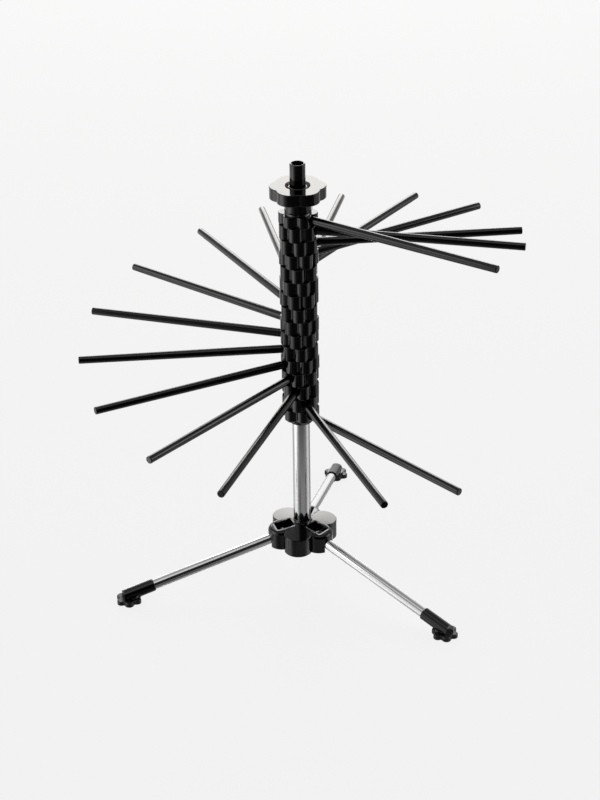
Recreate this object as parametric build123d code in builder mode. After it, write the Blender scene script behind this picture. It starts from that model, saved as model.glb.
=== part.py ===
from build123d import *
import os
from math import atan, cos, degrees, radians, sin, tan

# Folding drying rack for fresh pasta. A steel mast stands in a six-lobed hub on three
# folding legs. Sixteen rings are stacked on the mast, and each carries one arm that swings
# round it. A knob at the top clamps the stack, and a transfer rod is kept inside the mast.
# Millimetres, +Z up, origin on the mast's axis at the surface that the rack stands on.

os.makedirs("parts", exist_ok=True)

# Clearances
running_gap = 0.08
side_gap = 0.3
seat_gap = 0.2
overrun = 1.0

# Mast tube
tube_diameter = 18.0
tube_wall = 0.95

# Hub
hub_underside_height = 34.9
hub_height = 20.0
hub_lobe_reach = 22.5
hub_lobe_radius = 14.6
hub_core_radius = 20.0
hub_edge = 0.5
hub_shoulder = 4.5
hub_top_fall = 3.4
hub_rim = 2.2
socket_floor = 4.0
socket_lip = 1.8
plain_lobe_azimuth = 258.1
hub_lobes_each_kind = 3
lobe_turn = 60.0

# Windows in the hub, over the inner ends of the legs
window_inner_reach = 10.9
window_outer_reach = 29.5
window_width = 14.0
window_corner = 1.0

# Cover under the hub, and its fasteners
cover_thickness = 2.5
cover_gap = 0.1
rib_width = 3.0
rib_thickness = 2.4
cover_screw_diameter = 2.6
cover_screw_length = 11.0
cover_screw_head_diameter = 5.4
mast_screw_diameter = 4.2
mast_screw_length = 12.0
mast_screw_head_diameter = 8.6
mast_screw_head_height = 2.2
plug_height = 12.0

# Legs
leg_diameter = 10.5
leg_wall = 0.8
pivot_reach = 21.5
pivot_rise = 11.1
pin_diameter = 4.0
pin_length = 20.0
pin_edge = 0.3
knuckle_radius = 6.6
heel_length = 8.2
heel_thickness = 6.0
neck_length = 8.0
spigot_length = 18.0

# Feet
foot_reach = 190.0
foot_axis_height = 7.4
pad_height = 4.4
pad_lobes = 6
pad_lobe_reach = 9.0
pad_lobe_radius = 4.6
pad_core_radius = 10.6
pad_edge = 1.0
pad_turn = 18.0
pad_spigot_diameter = 8.0
pad_spigot_height = 3.0
elbow_diameter = 13.0
elbow_length = 28.0
elbow_back_wall = 1.0
elbow_base_diameter = 17.0
elbow_base_height = 3.4
elbow_base_setback = 2.6
elbow_bevel_drop = 7.0
elbow_bevel_angle = 58.0
elbow_edge = 0.7

# Stack of rings
ring_count = 16
ring_pitch = 14.33
stack_bottom_height = 182.3
ring_tip_radius = 19.4
ring_lobes = 6
ring_lobe_radius = 7.2
ring_valley_fillet = 1.2
ring_edge = 0.5
top_ring_pitch = 11.3
end_ring_bevel = 2.4
stop_diameter = 24.0
stop_height = 4.0

# Arms
arm_reach = 220.0
arm_root_diameter = 8.6
arm_tip_diameter = 7.5
arm_tip_edge = 0.8
arm_socket_reach = 12.2
arm_azimuths = (
    -35.0, -12.9, 5.6, 32.4, 55.4, 77.6, 100.2, 118.6,
    141.9, 163.9, 185.2, 206.4, 229.8, 250.2, 290.1, 312.4,
)

# Clamp at the top of the stack
washer_diameter = 26.0
washer_thickness = 0.8
bush_diameter = 21.6
bush_height = 20.3
skirt_diameter = 26.5
skirt_height = 13.9
knob_height = 12.0
knob_tip_radius = 27.7
knob_lobe_radius = 14.2
knob_lobes = 6
knob_lobe_azimuth = 2.0
knob_valley_fillet = 2.6
knob_edge = 0.6
knob_recess_diameter = 24.6
knob_recess_depth = 2.8
tube_top_drop = 0.8

# Transfer rod
transfer_rod_diameter = 15.5
transfer_rod_rise = 22.8
transfer_rod_edge = 1.4
transfer_rod_mouth_diameter = 11.6
transfer_rod_mouth_depth = 14.0

# Heights and sizes that follow from these
hub_rim_height = hub_underside_height + hub_height
hub_crown_height = hub_rim_height + hub_top_fall
hub_reach = hub_lobe_reach + hub_lobe_radius
hub_top_slope = hub_top_fall / (hub_reach - tube_diameter / 2)
socket_height = hub_underside_height + socket_floor
tube_bore_radius = tube_diameter / 2 - tube_wall
ring_bore_radius = tube_diameter / 2 + running_gap
stack_top_height = stack_bottom_height + (ring_count - 1) * ring_pitch + top_ring_pitch
washer_height = stack_top_height
skirt_bottom_height = washer_height + washer_thickness + seat_gap
knob_bottom_height = skirt_bottom_height + skirt_height
knob_top_height = knob_bottom_height + knob_height
bush_bottom_height = skirt_bottom_height + side_gap
tube_top_height = knob_top_height - tube_top_drop
transfer_rod_top_height = knob_top_height + transfer_rod_rise
pivot_height = hub_underside_height + pivot_rise
leg_rise = (pivot_height - foot_axis_height) / (foot_reach - pivot_reach)
leg_slope = degrees(atan(leg_rise))
leg_run = cos(radians(leg_slope))
foot_distance = (foot_reach - pivot_reach) / leg_run
slot_width = leg_diameter + 2 * side_gap
slot_start = window_outer_reach - overrun
slot_end = hub_lobe_reach + 2 * hub_lobe_radius
plain_azimuths = [plain_lobe_azimuth + 2 * lobe_turn * k for k in range(hub_lobes_each_kind)]
leg_azimuths = [azimuth + lobe_turn for azimuth in plain_azimuths]


def upright(azimuth, reach=0.0, height=0.0):
    """Upright plane through the mast: X runs outward at the azimuth, Y is up."""
    turn = radians(azimuth)
    out = Vector(cos(turn), sin(turn), 0)
    return Plane(
        origin=out * reach + Vector(0, 0, height),
        x_dir=out,
        z_dir=(sin(turn), -cos(turn), 0),
    )


def facing_out(azimuth, reach, height):
    """Plane that faces outward at the azimuth, its Z along the arm."""
    turn = radians(azimuth)
    out = Vector(cos(turn), sin(turn), 0)
    return Plane(
        origin=out * reach + Vector(0, 0, height),
        x_dir=(-sin(turn), cos(turn), 0),
        z_dir=out,
    )


def square_to_leg(azimuth, distance):
    """Plane square to a leg, at a distance outward from its hinge pin; Z runs down the leg."""
    turn = radians(azimuth)
    out = Vector(cos(turn), sin(turn), 0)
    down_leg = out * leg_run - Vector(0, 0, sin(radians(leg_slope)))
    return Plane(
        origin=out * pivot_reach + Vector(0, 0, pivot_height) + down_leg * distance,
        x_dir=(-sin(turn), cos(turn), 0),
        z_dir=down_leg,
    )


def leg_axis_height(reach):
    """Height of a leg's axis at a reach from the mast."""
    return pivot_height - (reach - pivot_reach) * leg_rise


def lobe_places(azimuths, reach=hub_lobe_reach):
    """Centres of the hub's lobes, or of what stands on them."""
    return [(reach * cos(radians(a)), reach * sin(radians(a))) for a in azimuths]


def save(piece, name):
    """Labels a finished piece and writes it as one STEP file."""
    piece.part.label = name
    export_step(piece.part, "parts/" + name + ".step")


# Waste over the hub: what is cut away, so that its top falls from the mast to the lobes' ends
with BuildPart() as hub_waste:
    with BuildSketch(upright(0)):
        with BuildLine():
            Polyline(
                (0, hub_crown_height),
                (tube_diameter / 2, hub_crown_height),
                (hub_reach, hub_rim_height),
                (hub_reach + overrun, hub_rim_height),
                (hub_reach + overrun, hub_crown_height + overrun),
                (0, hub_crown_height + overrun),
                close=True,
            )
        make_face()
    revolve(axis=Axis.Z)

# Leg lobes: the three lobes of the hub that hold a leg each, with rounded shoulders
with BuildPart() as leg_lobes:
    with BuildSketch(Plane.XY.offset(hub_underside_height)):
        with Locations(*lobe_places(leg_azimuths)):
            Circle(hub_lobe_radius)
    extrude(amount=hub_height + 2 * hub_top_fall)
    for azimuth in leg_azimuths:
        with BuildSketch(upright(azimuth, hub_reach, hub_rim_height)):
            with BuildLine():
                Polyline(
                    (hub_reach, -hub_reach * hub_top_slope),
                    (-2 * hub_reach, 2 * hub_reach * hub_top_slope),
                    (-2 * hub_reach, 2 * hub_reach),
                    (hub_reach, 2 * hub_reach),
                    close=True,
                )
            make_face()
        extrude(amount=hub_lobe_radius, both=True, mode=Mode.SUBTRACT)
    sloping_tops = leg_lobes.faces().filter_by(GeomType.PLANE).sort_by(Axis.Z)[-hub_lobes_each_kind:]
    fillet(sloping_tops.edges(), hub_shoulder)
    chamfer(leg_lobes.edges().group_by(Axis.Z)[0], hub_edge)

# Hub body: three plain lobes with flat tops joined to the leg lobes, a window and a slot
# for each leg, a socket for the mast and a recess for the cover
with BuildPart() as hub_body:
    with BuildSketch(Plane.XY.offset(hub_underside_height)):
        Circle(hub_core_radius)
        with Locations(*lobe_places(plain_azimuths)):
            Circle(hub_lobe_radius)
    extrude(amount=hub_height + hub_top_fall)
    add(hub_waste.part, mode=Mode.SUBTRACT)
    rim_edges = hub_body.faces().filter_by(GeomType.CONE).edges()
    chamfer(rim_edges.filter_by(GeomType.CIRCLE, reverse=True), hub_edge)
    chamfer(hub_body.faces().sort_by(Axis.Z)[0].edges(), hub_edge)
    add(leg_lobes.part)
    for azimuth in leg_azimuths:
        with BuildSketch(upright(azimuth)):
            with BuildLine():
                Polyline(
                    (slot_start, hub_underside_height - overrun),
                    (slot_end, hub_underside_height - overrun),
                    (slot_end, leg_axis_height(slot_end)),
                    (slot_start, leg_axis_height(slot_start)),
                    close=True,
                )
            make_face()
        extrude(amount=slot_width / 2, both=True, mode=Mode.SUBTRACT)
        with BuildSketch(square_to_leg(azimuth, (window_outer_reach - pivot_reach) / 2)):
            Circle(slot_width / 2)
        extrude(amount=2 * hub_lobe_radius, mode=Mode.SUBTRACT)
        with BuildSketch(Plane.XY.offset(hub_underside_height - overrun)):
            with Locations(Location((0, 0), azimuth)):
                with Locations(((window_inner_reach + window_outer_reach) / 2, 0)):
                    RectangleRounded(
                        window_outer_reach - window_inner_reach, window_width, window_corner
                    )
        extrude(amount=hub_height + hub_top_fall + 2 * overrun, mode=Mode.SUBTRACT)
        with BuildSketch(upright(azimuth, pivot_reach, pivot_height)):
            Circle(pin_diameter / 2)
            Rectangle(
                pin_diameter,
                pivot_height - hub_underside_height + overrun,
                align=(Align.CENTER, Align.MAX),
            )
        extrude(amount=pin_length / 2, both=True, mode=Mode.SUBTRACT)
    with BuildSketch(Plane.XY.offset(hub_underside_height - overrun)):
        Circle(hub_core_radius)
        with Locations(*lobe_places(plain_azimuths + leg_azimuths)):
            Circle(hub_lobe_radius - hub_rim)
    extrude(amount=cover_thickness + overrun, mode=Mode.SUBTRACT)
    with BuildSketch(Plane.XY.offset(socket_height)):
        Circle(tube_diameter / 2)
    extrude(amount=hub_height + hub_top_fall, mode=Mode.SUBTRACT)
    with BuildSketch(Plane.XY.offset(hub_crown_height - socket_lip)):
        Circle(tube_diameter / 2)
    extrude(amount=socket_lip + overrun, taper=-45, mode=Mode.SUBTRACT)
    with BuildSketch(Plane.XY.offset(hub_underside_height)):
        Circle(mast_screw_diameter / 2)
    extrude(amount=socket_floor + overrun, mode=Mode.SUBTRACT)
    with BuildSketch(Plane.XY.offset(hub_underside_height)):
        with Locations(*lobe_places(plain_azimuths)):
            Circle(cover_screw_diameter / 2)
    extrude(amount=cover_screw_length, mode=Mode.SUBTRACT)
save(hub_body, "hub_body")

# Hub cover: a plate let into the underside, with ribs that hold up the hinge pins
with BuildPart() as hub_cover:
    with BuildSketch(Plane.XY.offset(hub_underside_height)):
        Circle(hub_core_radius - cover_gap)
        with Locations(*lobe_places(plain_azimuths + leg_azimuths)):
            Circle(hub_lobe_radius - hub_rim - cover_gap)
        Circle(mast_screw_head_diameter / 2 + side_gap, mode=Mode.SUBTRACT)
    extrude(amount=cover_thickness)
    for azimuth in leg_azimuths:
        with BuildSketch(Plane.XY.offset(hub_underside_height - overrun)):
            with Locations(Location((0, 0), azimuth)):
                with Locations((window_inner_reach, 0)):
                    Rectangle(
                        2 * hub_lobe_radius + hub_lobe_reach,
                        window_width,
                        align=(Align.MIN, Align.CENTER),
                    )
        extrude(amount=cover_thickness + 2 * overrun, mode=Mode.SUBTRACT)
        with BuildSketch(Plane.XY.offset(hub_underside_height)):
            with Locations(Location((0, 0), azimuth)):
                with Locations(
                    (pivot_reach, (pin_length - rib_thickness) / 2 - cover_gap),
                    (pivot_reach, -(pin_length - rib_thickness) / 2 + cover_gap),
                ):
                    Rectangle(rib_width, rib_thickness)
        extrude(amount=pivot_height - pin_diameter / 2 - cover_gap - hub_underside_height)
    with Locations(
        *[
            Location((x, y, hub_underside_height), (180, 0, 0))
            for x, y in lobe_places(plain_azimuths)
        ]
    ):
        CounterSinkHole(
            cover_screw_diameter / 2 + cover_gap,
            cover_screw_head_diameter / 2 + cover_gap,
            depth=cover_thickness,
        )
save(hub_cover, "hub_cover")

# Cover screws: three countersunk screws in one node
with BuildPart() as cover_screws:
    with BuildSketch(Plane.XY.offset(hub_underside_height)):
        with Locations(*lobe_places(plain_azimuths)):
            Circle(cover_screw_head_diameter / 2)
    extrude(amount=(cover_screw_head_diameter - cover_screw_diameter) / 2, taper=45)
    with BuildSketch(Plane.XY.offset(hub_underside_height)):
        with Locations(*lobe_places(plain_azimuths)):
            Circle(cover_screw_diameter / 2)
    extrude(amount=cover_screw_length)
save(cover_screws, "cover_screws")

# Leg pins: three hinge pins in one node
with BuildPart() as leg_pins:
    for azimuth in leg_azimuths:
        with BuildSketch(upright(azimuth, pivot_reach, pivot_height)):
            Circle(pin_diameter / 2)
        extrude(amount=pin_length / 2 - cover_gap, both=True)
    chamfer(leg_pins.edges().filter_by(GeomType.CIRCLE), pin_edge)
save(leg_pins, "leg_pins")

# Mast tube: from the hub's socket up into the knob
with BuildPart() as mast_tube:
    with BuildSketch(Plane.XY.offset(socket_height)):
        Circle(tube_diameter / 2)
        Circle(tube_bore_radius, mode=Mode.SUBTRACT)
    extrude(amount=tube_top_height - socket_height)
save(mast_tube, "mast_tube")

# Mast plug: closes the foot of the tube, takes the mast screw and carries the transfer rod
with BuildPart() as mast_plug:
    with BuildSketch(Plane.XY.offset(socket_height)):
        Circle(tube_bore_radius)
        Circle(mast_screw_diameter / 2, mode=Mode.SUBTRACT)
    extrude(amount=plug_height)
save(mast_plug, "mast_plug")

# Mast screw: holds the plug and the tube down in the hub
with BuildPart() as mast_screw:
    with BuildSketch(Plane.XY.offset(hub_underside_height + cover_thickness)):
        Circle(mast_screw_head_diameter / 2)
    extrude(amount=-mast_screw_head_height)
    with BuildSketch(Plane.XY.offset(hub_underside_height + cover_thickness)):
        Circle(mast_screw_diameter / 2)
    extrude(amount=mast_screw_length)
save(mast_screw, "mast_screw")

# Stack stop: a collar pressed on the mast, under the lowest ring
with BuildPart() as stack_stop:
    with BuildSketch(Plane.XY.offset(stack_bottom_height)):
        Circle(stop_diameter / 2)
        Circle(tube_diameter / 2, mode=Mode.SUBTRACT)
    extrude(amount=-stop_height)
    chamfer(stack_stop.faces().sort_by(Axis.Z)[0].edges().sort_by(SortBy.LENGTH)[-1], hub_edge)
save(stack_stop, "stack_stop")


def ring(name, azimuth, middle, height, lower_edge):
    """One ring of the stack: a lobed collar with a blind socket for its arm in a valley."""
    with BuildPart() as piece:
        with BuildSketch(Plane.XY.offset(middle - height / 2)) as outline:
            Circle(ring_tip_radius - ring_lobe_radius)
            with PolarLocations(
                ring_tip_radius - ring_lobe_radius,
                ring_lobes,
                start_angle=azimuth + 180 / ring_lobes,
            ):
                Circle(ring_lobe_radius)
            fillet(outline.vertices(), ring_valley_fillet)
        extrude(amount=height)
        chamfer(piece.faces().sort_by(Axis.Z)[-1].edges(), ring_edge)
        chamfer(piece.faces().sort_by(Axis.Z)[0].edges(), lower_edge)
        with BuildSketch(Plane.XY.offset(middle - height / 2)):
            Circle(ring_bore_radius)
        extrude(amount=height, mode=Mode.SUBTRACT)
        with BuildSketch(facing_out(azimuth, arm_socket_reach, middle)):
            Circle(arm_root_diameter / 2)
        extrude(amount=ring_tip_radius, mode=Mode.SUBTRACT)
    save(piece, name)


def rod(name, azimuth, middle):
    """One arm: a straight root in the ring, then a slender taper to a bevelled tip."""
    root_radius = arm_root_diameter / 2
    tip_radius = arm_tip_diameter / 2
    with BuildPart() as piece:
        with BuildSketch(upright(azimuth, 0.0, middle)):
            with BuildLine():
                Polyline(
                    (arm_socket_reach, 0),
                    (arm_socket_reach, root_radius),
                    (ring_tip_radius, root_radius),
                    (arm_reach - arm_tip_edge, tip_radius),
                    (arm_reach, tip_radius - arm_tip_edge),
                    (arm_reach, 0),
                    close=True,
                )
            make_face()
        turn = radians(azimuth)
        revolve(axis=Axis((0, 0, middle), (cos(turn), sin(turn), 0)))
    save(piece, name)


# Arms: each ring and its rod turn together round the mast, counted from the top, where the
# first ring is lower than the rest; the last one has a wide bevel below
for number, azimuth in enumerate(arm_azimuths):
    pitch = ring_pitch if number else top_ring_pitch
    middle = stack_bottom_height + (ring_count - 1 - number) * ring_pitch + pitch / 2
    lower_edge = end_ring_bevel if number == ring_count - 1 else ring_edge
    ring(f"ring_{number + 1:02d}", azimuth, middle, pitch - seat_gap, lower_edge)
    rod(f"rod_{number + 1:02d}", azimuth, middle)

# Thrust washer: between the top ring and the knob, wide enough to pass the bush
with BuildPart() as thrust_washer:
    with BuildSketch(Plane.XY.offset(washer_height)):
        Circle(washer_diameter / 2)
        Circle(bush_diameter / 2 + running_gap, mode=Mode.SUBTRACT)
    extrude(amount=washer_thickness)
save(thrust_washer, "thrust_washer")

# Thread bush: pressed on the mast, the knob screws down on it
with BuildPart() as thread_bush:
    with BuildSketch(Plane.XY.offset(bush_bottom_height)):
        Circle(bush_diameter / 2)
        Circle(tube_diameter / 2, mode=Mode.SUBTRACT)
    extrude(amount=bush_height)
save(thread_bush, "thread_bush")

# Clamp knob: six shallow lobes over a skirt, with a dished recess round the mast's mouth
with BuildPart() as clamp_knob:
    with BuildSketch(Plane.XY.offset(knob_bottom_height)) as knob_outline:
        Circle(knob_lobe_radius)
        with PolarLocations(
            knob_tip_radius - knob_lobe_radius, knob_lobes, start_angle=knob_lobe_azimuth
        ):
            Circle(knob_lobe_radius)
        fillet(knob_outline.vertices(), knob_valley_fillet)
    extrude(amount=knob_height)
    chamfer(clamp_knob.faces().sort_by(Axis.Z)[-1].edges(), knob_edge)
    chamfer(clamp_knob.faces().sort_by(Axis.Z)[0].edges(), knob_edge)
    with BuildSketch(Plane.XY.offset(skirt_bottom_height)):
        Circle(skirt_diameter / 2)
    extrude(amount=skirt_height + knob_edge)
    with BuildSketch(Plane.XY.offset(skirt_bottom_height)):
        Circle(bush_diameter / 2 + running_gap)
    extrude(amount=bush_height + 2 * side_gap, mode=Mode.SUBTRACT)
    with BuildSketch(Plane.XY.offset(skirt_bottom_height)):
        Circle(tube_diameter / 2 + running_gap)
    extrude(amount=skirt_height + knob_height + overrun, mode=Mode.SUBTRACT)
    with BuildSketch(Plane.XY.offset(knob_top_height)):
        Circle(knob_recess_diameter / 2)
    with BuildSketch(Plane.XY.offset(knob_top_height - knob_recess_depth)):
        Circle(tube_diameter / 2 + running_gap)
    loft(mode=Mode.SUBTRACT)
save(clamp_knob, "clamp_knob")

# Transfer rod: stands on the plug inside the mast and is drawn out at the top, where it is open
transfer_rod_foot = socket_height + plug_height + seat_gap
with BuildPart() as transfer_rod:
    with BuildSketch(Plane.XY.offset(transfer_rod_foot)):
        Circle(transfer_rod_diameter / 2)
    extrude(amount=transfer_rod_top_height - transfer_rod_foot)
    fillet(transfer_rod.edges().group_by(Axis.Z)[-1], transfer_rod_edge)
    chamfer(transfer_rod.edges().group_by(Axis.Z)[0], hub_edge)
    with BuildSketch(Plane.XY.offset(transfer_rod_top_height)):
        Circle(transfer_rod_mouth_diameter / 2)
    extrude(amount=-transfer_rod_mouth_depth, mode=Mode.SUBTRACT)
save(transfer_rod, "transfer_rod")

# Where the leg's tube ends inside the elbow: clear of the elbow's flat underside
tube_end_height = pad_height + elbow_back_wall + leg_diameter / 2 / leg_run
tube_end_distance = (pivot_height - tube_end_height) / sin(radians(leg_slope))
elbow_start_distance = foot_distance - elbow_length


def knuckle(name, azimuth):
    """Inner end of a leg: an eye on the pin, a heel under the window and a plug in the tube."""
    with BuildPart() as piece:
        with BuildSketch(upright(azimuth, pivot_reach, pivot_height)):
            Circle(knuckle_radius)
            Rectangle(
                heel_length,
                heel_thickness,
                rotation=-leg_slope,
                align=(Align.MAX, Align.CENTER),
            )
        extrude(amount=window_width / 2 - side_gap, both=True)
        with BuildSketch(square_to_leg(azimuth, 0)):
            Circle(leg_diameter / 2)
        extrude(amount=neck_length)
        with BuildSketch(square_to_leg(azimuth, 0)):
            Circle(leg_diameter / 2 - leg_wall)
        extrude(amount=neck_length + spigot_length)
        with BuildSketch(upright(azimuth, pivot_reach, pivot_height)):
            Circle(pin_diameter / 2 + running_gap)
        extrude(amount=window_width, both=True, mode=Mode.SUBTRACT)
    save(piece, name)


def leg_tube(name, azimuth):
    """Steel tube of a leg."""
    with BuildPart() as piece:
        with BuildSketch(square_to_leg(azimuth, neck_length)):
            Circle(leg_diameter / 2)
            Circle(leg_diameter / 2 - leg_wall, mode=Mode.SUBTRACT)
        extrude(amount=tube_end_distance - neck_length)
    save(piece, name)


def elbow(name, azimuth):
    """Sleeve over the leg's outer end, on a round base, bevelled at its outer end."""
    base_reach = foot_reach - elbow_base_setback
    turn = radians(azimuth)
    end_reach = base_reach + elbow_base_diameter / 2
    with BuildPart() as piece:
        with BuildSketch(square_to_leg(azimuth, elbow_start_distance)):
            Circle(elbow_diameter / 2)
        extrude(amount=elbow_length + elbow_diameter)
        chamfer(
            piece.edges().filter_by(GeomType.CIRCLE).sort_by_distance(Vector(0, 0, pivot_height))[0],
            elbow_edge,
        )
        with BuildSketch(Plane.XY.offset(pad_height)):
            with Locations((base_reach * cos(turn), base_reach * sin(turn))):
                Circle(elbow_base_diameter / 2)
        extrude(amount=elbow_base_height)
        split(bisect_by=facing_out(azimuth, end_reach, 0), keep=Keep.BOTTOM)
        split(bisect_by=Plane.XY.offset(pad_height), keep=Keep.TOP)
        with BuildSketch(upright(azimuth, end_reach, pad_height + elbow_bevel_drop)):
            with BuildLine():
                Polyline(
                    (0, 0),
                    (0, elbow_diameter),
                    (-elbow_diameter / tan(radians(elbow_bevel_angle)), elbow_diameter),
                    close=True,
                )
            make_face()
        extrude(amount=elbow_diameter, both=True, mode=Mode.SUBTRACT)
        with BuildSketch(square_to_leg(azimuth, elbow_start_distance)):
            Circle(leg_diameter / 2)
        extrude(amount=tube_end_distance - elbow_start_distance, mode=Mode.SUBTRACT)
        with BuildSketch(Plane.XY.offset(pad_height)):
            with Locations((foot_reach * cos(turn), foot_reach * sin(turn))):
                Circle(pad_spigot_diameter / 2)
        extrude(amount=pad_spigot_height, mode=Mode.SUBTRACT)
    save(piece, name)


def pad(name, azimuth):
    """Rubber pad: a six-lobed disc with a stub that presses into the elbow."""
    turn = radians(azimuth)
    spot = (foot_reach * cos(turn), foot_reach * sin(turn))
    with BuildPart() as piece:
        with BuildSketch(Plane.XY):
            with Locations(Location(spot, azimuth + pad_turn)):
                Circle(pad_core_radius)
                with PolarLocations(pad_lobe_reach, pad_lobes):
                    Circle(pad_lobe_radius)
        extrude(amount=pad_height)
        chamfer(piece.faces().sort_by(Axis.Z)[-1].edges(), pad_edge)
        with BuildSketch(Plane.XY.offset(pad_height)):
            with Locations(spot):
                Circle(pad_spigot_diameter / 2)
        extrude(amount=pad_spigot_height)
    save(piece, name)


# Legs: each folds down on its pin, all its pieces together
for number, azimuth in enumerate(leg_azimuths):
    knuckle(f"leg_knuckle_{number + 1}", azimuth)
    leg_tube(f"leg_tube_{number + 1}", azimuth)
    elbow(f"foot_elbow_{number + 1}", azimuth)
    pad(f"foot_pad_{number + 1}", azimuth)
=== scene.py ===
from math import atan2, cos, pi, radians, sin, sqrt

import bpy
import numpy as np
from mathutils import Matrix, Vector


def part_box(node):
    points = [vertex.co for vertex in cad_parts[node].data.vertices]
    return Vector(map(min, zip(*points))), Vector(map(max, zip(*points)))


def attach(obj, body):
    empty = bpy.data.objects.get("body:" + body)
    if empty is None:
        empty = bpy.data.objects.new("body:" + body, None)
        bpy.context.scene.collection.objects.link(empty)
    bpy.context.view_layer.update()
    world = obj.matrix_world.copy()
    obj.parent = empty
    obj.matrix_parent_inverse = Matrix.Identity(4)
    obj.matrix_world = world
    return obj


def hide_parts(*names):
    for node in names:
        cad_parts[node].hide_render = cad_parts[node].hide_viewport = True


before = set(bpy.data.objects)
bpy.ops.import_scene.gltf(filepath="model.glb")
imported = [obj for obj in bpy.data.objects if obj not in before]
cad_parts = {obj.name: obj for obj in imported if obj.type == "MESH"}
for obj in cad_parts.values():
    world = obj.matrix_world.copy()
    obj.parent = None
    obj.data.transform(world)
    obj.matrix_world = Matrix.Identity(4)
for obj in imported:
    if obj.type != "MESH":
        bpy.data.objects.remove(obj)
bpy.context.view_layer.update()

bl_info = {
    "name": "Pasta drying rack",
    "version": (1, 0, 0),
    "blender": (4, 5, 0),
    "location": "3D View > Sidebar > Drying rack",
    "description": "Dresses the packed drying rack with smooth mouldings, tubes and their finishes",
    "category": "Add Mesh",
}

MM = 0.001

# A row of points this close beside a rounding keeps the flat next to it flat
SUPPORT = 0.12 * MM

# Section of a window's rim in mm: distance outward from the window's edge, and rise over that edge
RIM_SECTION = (
    (-0.03, -0.8), (-0.03, -0.04), (0.02, 0.03), (0.1, 0.05), (0.3, 0.065), (0.9, 0.105),
    (1.6, 0.155), (1.75, 0.16), (1.85, 0.14), (1.88, 0.06), (1.88, -0.8),
)

# Soft boxes: name, place, width and height, power, colour
SOFT_BOXES = (
    ("back_box", (0.0, 3.0, 1.4), (2.2, 1.3), 40.0, (1.0, 0.965, 0.935)),
    ("left_box", (-2.9, -0.5, 1.5), (2.1, 1.9), 15.5, (1.0, 1.0, 1.0)),
    ("right_box", (3.0, 0.1, 1.35), (2.1, 1.9), 24.0, (1.0, 1.0, 1.0)),
)

# The camera that fits the rods: angles in degrees, lengths in m, focal length in pixels
CAMERA_ELEVATION, CAMERA_ROLL = 28.8507, -0.8303
CAMERA_DISTANCE, CAMERA_AIM, CAMERA_SHIFT = 1.9555556, 0.201534, -0.000687
FOCAL_PIXELS, PICTURE_HEIGHT = 1930.9037, 800


# Measurements that the frame gives

def vertices_of(node):
    """The corners of a CAD node as an array of places, one row each."""
    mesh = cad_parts[node].data
    places = np.empty(3 * len(mesh.vertices))
    mesh.vertices.foreach_get("co", places)
    return places.reshape(-1, 3)


def azimuth_of(node):
    """Direction in which a node runs out from the mast: that of the middle of its outermost corners."""
    places = vertices_of(node)
    reach = np.hypot(places[:, 0], places[:, 1])
    tip = places[reach > reach.max() - 3 * MM].mean(axis=0)
    return atan2(tip[1], tip[0])


def lobe_start_of(node, lobes):
    """Direction of a lobe: the mean phase of the outermost corners, in turns of one lobe."""
    places = vertices_of(node)[:, :2]
    reach = np.hypot(places[:, 0], places[:, 1])
    outer = places[reach > reach.max() - 0.15 * MM]
    phase = np.exp(1j * lobes * np.arctan2(outer[:, 1], outer[:, 0])).mean()
    return float(np.angle(phase)) / lobes


def axis_of_leg(number):
    """Inner and outer end of a leg tube's axis: the middles of the corners near its two ends."""
    places = vertices_of(f"leg_tube_{number}")
    along = places - places.mean(axis=0)
    run = np.linalg.svd(along, full_matrices=False)[2][0]
    run = run if run[2] < 0 else -run
    share = along @ run
    inner = places[share < share.min() + 0.1 * MM].mean(axis=0)
    outer = places[share > share.max() - 0.1 * MM].mean(axis=0)
    return inner, outer


# Surfaces on grids

def steps(start, end, count):
    """Evenly spaced values, both ends included."""
    return np.linspace(start, end, count)


def lobed_reach(turns, lobes, reach, radius, start, inset, hollow, core):
    """Reach of a lobed outline, moved inward by an inset, at each angle.

    Each lobe is a circle of the radius whose middle lies at the reach: the outline is
    r = reach cos(a) + sqrt(radius^2 - reach^2 sin(a)^2), with a the angle to the nearest lobe.
    Between two lobes a hollow arc touches both, and nothing lies inside the core circle.
    """
    half = pi / lobes
    phase = (turns - start + half) % (2 * half) - half
    lobe_radius = radius - inset
    lobe = reach * np.cos(phase) + np.sqrt(np.maximum(lobe_radius**2 - (reach * np.sin(phase))**2, 0))
    across = radius + hollow
    middle = reach * cos(half) + sqrt(max(across**2 - (reach * sin(half))**2, 0))
    valley = half - np.abs(phase)
    arc = (hollow + inset)**2 - (middle * np.sin(valley))**2
    bridge = middle * np.cos(valley) - np.sqrt(np.maximum(arc, 0))
    lobe_middle = np.array([reach * cos(half), reach * sin(half)])
    touch = lobe_middle + (np.array([middle, 0.0]) - lobe_middle) * lobe_radius / across
    outline = np.where(valley < atan2(touch[1], touch[0]), bridge, lobe)
    return np.maximum(outline, core - inset)


def lobed_rows(rows, columns, **outline):
    """Grid of a lobed moulding: one closed row of points for each entry (share, inset, circle, height).

    A row's reach is share times the lobed outline at that inset, plus the rest times the circle.
    """
    turns = steps(0, 2 * pi, columns + 1)[:-1]
    points = np.empty((len(rows), columns, 3))
    for i, (share, inset, circle, height) in enumerate(rows):
        reach = share * lobed_reach(turns, inset=inset, **outline) + (1 - share) * circle
        points[i, :, 0] = reach * np.cos(turns)
        points[i, :, 1] = reach * np.sin(turns)
        points[i, :, 2] = height
    return points


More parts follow.
